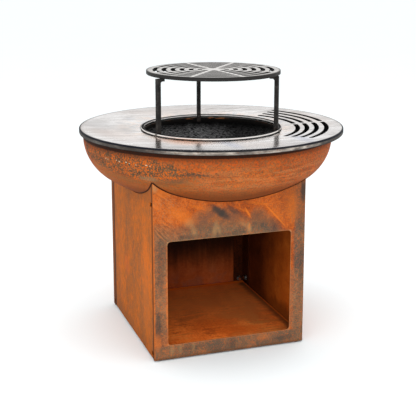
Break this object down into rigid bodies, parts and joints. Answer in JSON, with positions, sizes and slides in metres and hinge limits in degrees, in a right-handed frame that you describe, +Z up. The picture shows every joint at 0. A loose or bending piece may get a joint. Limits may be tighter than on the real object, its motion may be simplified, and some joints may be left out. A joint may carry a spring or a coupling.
{
  "type": "plancha barbecue grill",
  "caption": "Wood-fired barbecue: square rusted-steel log cabinet, loose fire bowl, round slotted steel plancha with a centre hole, and a raised round grate on a rack.",
  "frame": {"origin": "centre of the plancha, on the ground", "axes": "+Z up along the plancha's axis; the log opening faces -Y; +X to the right seen from the front"},
  "size_m": [0.8, 0.8, 0.8039],
  "materials": {
    "rust_panel": "weathered rust-coloured steel sheet, matt and mottled",
    "rust_inner": "dark rust-coloured steel, matt",
    "bowl_steel": "weathered rust-coloured steel with grey patches, matt",
    "plancha_steel": "bright rolled steel, worn and a little oiled",
    "rack_steel": "dark heat-scaled steel, satin",
    "grate_iron": "cast iron, rubbed bright on top",
    "zinc": "zinc-plated fasteners",
    "foot_plastic": "black moulded plastic"
  },
  "bodies": {
    "cabinet": {"front_panel": "rust_panel", "rear_panel": "rust_panel", "left_panel": "rust_panel", "right_panel": "rust_panel", "floor_shelf": "rust_panel", "corner_angle_front_left": "rust_inner", "corner_angle_front_right": "rust_inner", "corner_angle_rear_left": "rust_inner", "corner_angle_rear_right": "rust_inner", "nut_front_left_front_low": "zinc", "nut_front_left_front_high": "zinc", "nut_front_left_side_low": "zinc", "nut_front_left_side_high": "zinc", "nut_front_right_front_low": "zinc", "nut_front_right_front_high": "zinc", "nut_front_right_side_low": "zinc", "nut_front_right_side_high": "zinc", "nut_rear_left_rear_low": "zinc", "nut_rear_left_rear_high": "zinc", "nut_rear_left_side_low": "zinc", "nut_rear_left_side_high": "zinc", "nut_rear_right_rear_low": "zinc", "nut_rear_right_rear_high": "zinc", "nut_rear_right_side_low": "zinc", "nut_rear_right_side_high": "zinc", "foot_front_left": "foot_plastic", "foot_front_right": "foot_plastic", "foot_rear_left": "foot_plastic", "foot_rear_right": "foot_plastic"},
    "bowl": {"fire_bowl": "bowl_steel"},
    "plancha": {"plancha_plate": "plancha_steel", "plancha_lug_front_left": "rack_steel", "plancha_lug_front_right": "rack_steel", "plancha_lug_rear_left": "rack_steel", "plancha_lug_rear_right": "rack_steel"},
    "rack": {"rack_ring": "rack_steel", "rack_leg_rear": "rack_steel", "rack_leg_left": "rack_steel", "rack_leg_right": "rack_steel", "leg_bolt_rear": "zinc", "leg_bolt_left": "zinc", "leg_bolt_right": "zinc"},
    "grate_body": {"grate": "grate_iron"}
  },
  "joints": [
    {"name": "bowl_lift", "type": "slide", "parent": "cabinet", "child": "bowl", "axis": [0, 0, 1], "range_m": [0, 0.25]},
    {"name": "plancha_lift", "type": "slide", "parent": "bowl", "child": "plancha", "axis": [0, 0, 1], "range_m": [0, 0.15]},
    {"name": "rack_lift", "type": "slide", "parent": "plancha", "child": "rack", "axis": [0, 0, 1], "range_m": [0, 0.12]},
    {"name": "grate_lift", "type": "slide", "parent": "rack", "child": "grate_body", "axis": [0, 0, 1], "range_m": [0, 0.12]}
  ]
}
